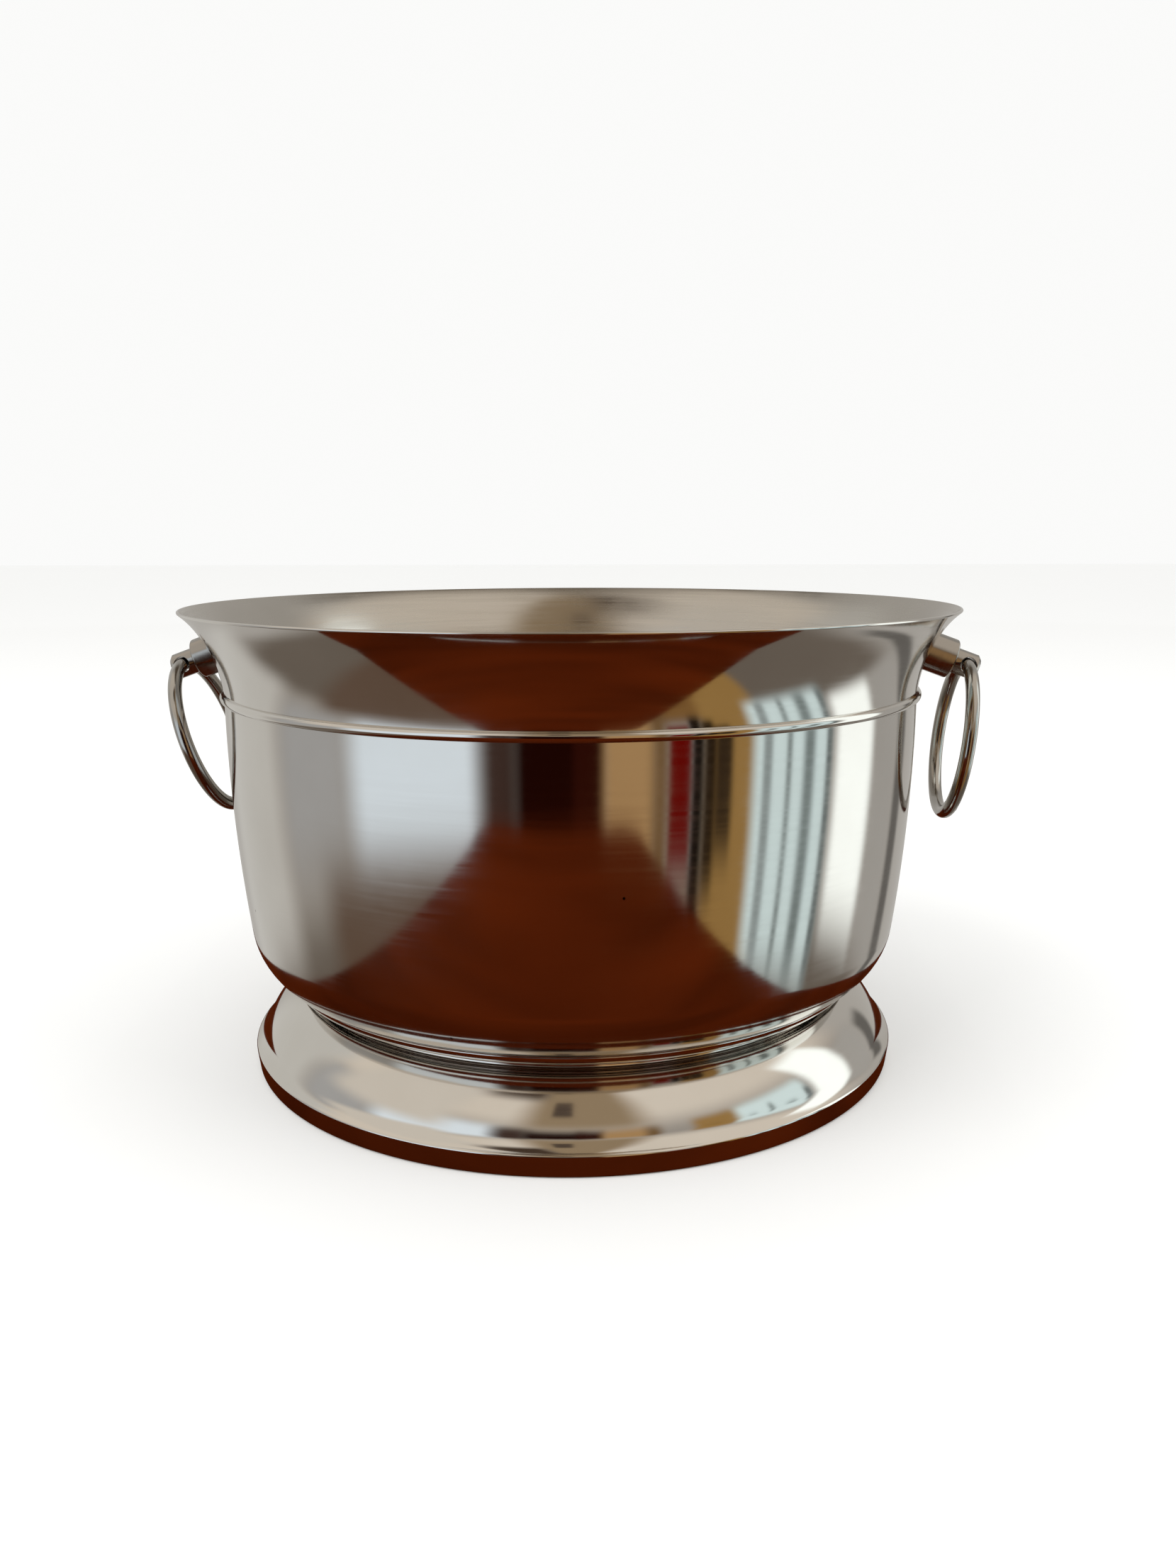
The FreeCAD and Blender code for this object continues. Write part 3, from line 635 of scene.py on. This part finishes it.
# Each card: its middle and half width in degrees round the bucket from +X, its lowest and
# highest elevation, how softly its sides and its ends fade, its colour and its strength.
CARDS = [
    (0, 180, -90, -22, 4, 8, "#958a7f", 0.60),     # the room's floor, past the wooden top
    (0, 180, 28, 90, 4, 25, "#e9e0d4", 1.00),      # ceiling bounce, warm white
    (90, 55, -40, 60, 20, 20, "#c9c6c1", 0.85),    # grey flat behind
    (90, 40, 50, 90, 20, 15, "#7d7060", 0.60),     # dark flag high behind
    (276, 22, 26, 90, 16, 14, "#a89377", 0.90),    # tan ceiling over the front flag
    (238, 20, 58, 88, 12, 12, "#6d5848", 0.45),    # a dark beam high over it
    (268, 4, 40, 56, 2, 4, "#77665a", 0.50),       # and the lamp stand's head
    (185, 15, -17, 30, 14, 10, "#c9cacb", 0.80),   # grey flat, left
    (148, 20, -23, 40, 14, 10, "#d9d8d4", 0.95),   # cream soft box, left
    (224, 22, -17, 26, 12, 11, "#d3dfea", 1.42),   # large cool soft box, front left
    (217, 30, -60, -18, 14, 9, "#8f7766", 0.55),   # the floor in front of it
    (312, 17, -60, -22, 8, 9, "#b0834c", 0.60),    # sunlit floor, front right
    (203, 24, 16, 62, 14, 14, "#efe8de", 0.88),    # upper half of the cool soft box
    (251, 6, -44, 26, 9, 8, "#6f564d", 0.38),      # purple-brown edge of the front flag
    (266, 11, -60, 24, 7, 8, "#3d140b", 0.32),     # dark flag round the camera
    (278, 5, -40, 24, 3, 8, "#6a2a1c", 0.22),      # its redder edge
    (290, 8, -34, 24, 5, 9, "#cda573", 0.80),      # gold card
    (299, 2.5, -34, 24, 5, 9, "#9c7a52", 0.62),    # its shaded side
    (323, 10, -60, 24, 5, 8, "#c39a5c", 0.72),     # second gold card
    (305, 3.4, -19, 8, 1.5, 4, "#8a0f08", 0.62),   # narrow dark red card
    (310.5, 1.8, -24, 11, 1.8, 5, "#2c231b", 0.33),  # narrow dark cards
    (314.5, 2.0, -21, 10, 2.4, 5, "#4a3826", 0.38),
    (319, 2.8, -17, 12, 2.6, 6, "#5c4833", 0.40),
    (344, 15, -28, 24, 5, 9, "#d3e6ea", 1.28),     # window box, front right
    (12, 10, -22, 40, 5, 9, "#f3fafa", 1.60),      # window box, right
    (334, 1.6, -28, 12, 2.0, 7, "#a9b6b8", 0.85),  # its soft bars
    (342, 1.0, -28, 16, 1.6, 7, "#9aa8a9", 0.80),
    (350, 2.2, -28, 9, 3.0, 7, "#93a1a2", 0.78),
    (358.5, 1.3, -28, 14, 1.6, 7, "#869192", 0.70),
    (30, 8, -24, 20, 8, 8, "#bdbbb7", 0.90),       # grey flags, right and behind
    (44, 4, -36, 12, 4, 8, "#86837f", 0.65),
]
BARE_TENT, BARE_STRENGTH = "#bdb7b0", 0.8


def light_tent(radius=3.0):
    """A sphere seen from inside, in cells half a degree wide and 1.5 degrees high. Its glow
    is the cards laid over each other in turn: glow times (1 - cover) plus the card times
    cover, where cover fades from one to nothing across the card's soft edges by the smooth
    step 3x^2 - 2x^3."""
    azimuth = np.radians(np.arange(0, 360.1, 0.5))[None]
    elevation = np.radians(np.arange(-90, 90.1, 1.5))[:, None]
    grid = radius * np.stack([np.cos(elevation) * np.cos(azimuth),
                              np.cos(elevation) * np.sin(azimuth),
                              np.sin(elevation) + 0 * azimuth], axis=-1)

    def fade(inside, soft):
        x = np.clip(inside / soft + 0.5, 0, 1)
        return x * x * (3 - 2 * x)

    height = np.degrees(elevation)
    glow = np.zeros(grid.shape) + np.array(colour(BARE_TENT)[:3]) * BARE_STRENGTH
    for middle, half, low, high, side_soft, end_soft, code, strength in CARDS:
        away = abs((np.degrees(azimuth) - middle + 180) % 360 - 180)
        if half == 180:
            # A card all the way round has no sides, and one up to 90 degrees no upper end.
            across = 1 + 0 * away
            below = fade(high - height + 90 * (high == 90), end_soft)
        else:
            across = fade(half - away, side_soft)
            below = fade(high - height, end_soft)
        cover = (across * fade(height - low, end_soft) * below)[..., None]
        glow = glow * (1 - cover) + cover * np.array(colour(code)[:3]) * strength
    rows, columns = grid.shape[:2]
    index = np.arange(rows * columns).reshape(rows, columns)
    cells = np.stack([index[:-1, :-1], index[1:, :-1], index[1:, 1:], index[:-1, 1:]], axis=-1)
    mesh = bpy.data.meshes.new("light_tent")
    mesh.from_pydata(grid.reshape(-1, 3).tolist(), [], cells.reshape(-1, 4).tolist())
    layer = mesh.attributes.new("glow", "FLOAT_COLOR", "POINT")
    shown = np.concatenate([glow.reshape(-1, 3), np.ones((rows * columns, 1))], axis=1)
    layer.data.foreach_set("color", shown.astype(np.float32).ravel())
    material = bpy.data.materials.new("soft_boxes_and_flags")
    material.use_nodes = True
    tree = material.node_tree
    tree.nodes.clear()
    cards = add(tree, "ShaderNodeAttribute", {}, attribute_name="glow")
    shine = add(tree, "ShaderNodeEmission", {0: cards["Color"], 1: 1.0})
    add(tree, "ShaderNodeOutputMaterial", {0: shine[0]})
    material.cycles.emission_sampling = "NONE"
    mesh.materials.append(material)
    tent = bpy.data.objects.new("light_tent", mesh)
    bpy.context.scene.collection.objects.link(tent)
    return tent


tent = light_tent()
tent.visible_camera = False
tent.visible_diffuse = False
tent.visible_shadow = False
tent.visible_transmission = False

for name, spot, size, power in (("key_lamp", (-1.2, -1.1, 1.9), 1.6, 18.0),
                                ("fill_lamp", (1.6, -0.6, 1.4), 1.4, 9.0)):
    lamp = bpy.data.lights.new(name, "AREA")
    lamp.size, lamp.energy = size, power
    holder = bpy.data.objects.new(name, lamp)
    bpy.context.scene.collection.objects.link(holder)
    x, y, z = spot
    holder.location = spot
    holder.rotation_euler = (math.atan2(math.hypot(x, y), z), 0, math.atan2(x, -y))
    holder.visible_glossy = False

world = bpy.data.worlds.new("pale_room")
bpy.context.scene.world = world
world.use_nodes = True
world.node_tree.nodes["Background"].inputs["Color"].default_value = colour("#fefefd")
world.node_tree.nodes["Background"].inputs["Strength"].default_value = 0.97
bpy.context.scene.view_settings.view_transform = "Standard"


# ---------------------------------------------------------------- the camera
# At the height of a person leaning in over the table: 58 cm in front of the bucket's axis,
# 23 cm above the table, looking 10 degrees down, with a phone's wide lens.

eye = bpy.data.cameras.new("camera")
eye.lens, eye.sensor_width = 29.51, 36.0
eye.shift_x, eye.shift_y = -0.0065, -0.0156
eye.clip_start, eye.clip_end = 0.01, 50.0
camera = bpy.data.objects.new("camera", eye)
bpy.context.scene.collection.objects.link(camera)
camera.location = (0.02847, -0.58214, 0.23347)
camera.rotation_euler = [math.radians(angle) for angle in (79.985, 0.127, 1.628)]
bpy.context.scene.camera = camera
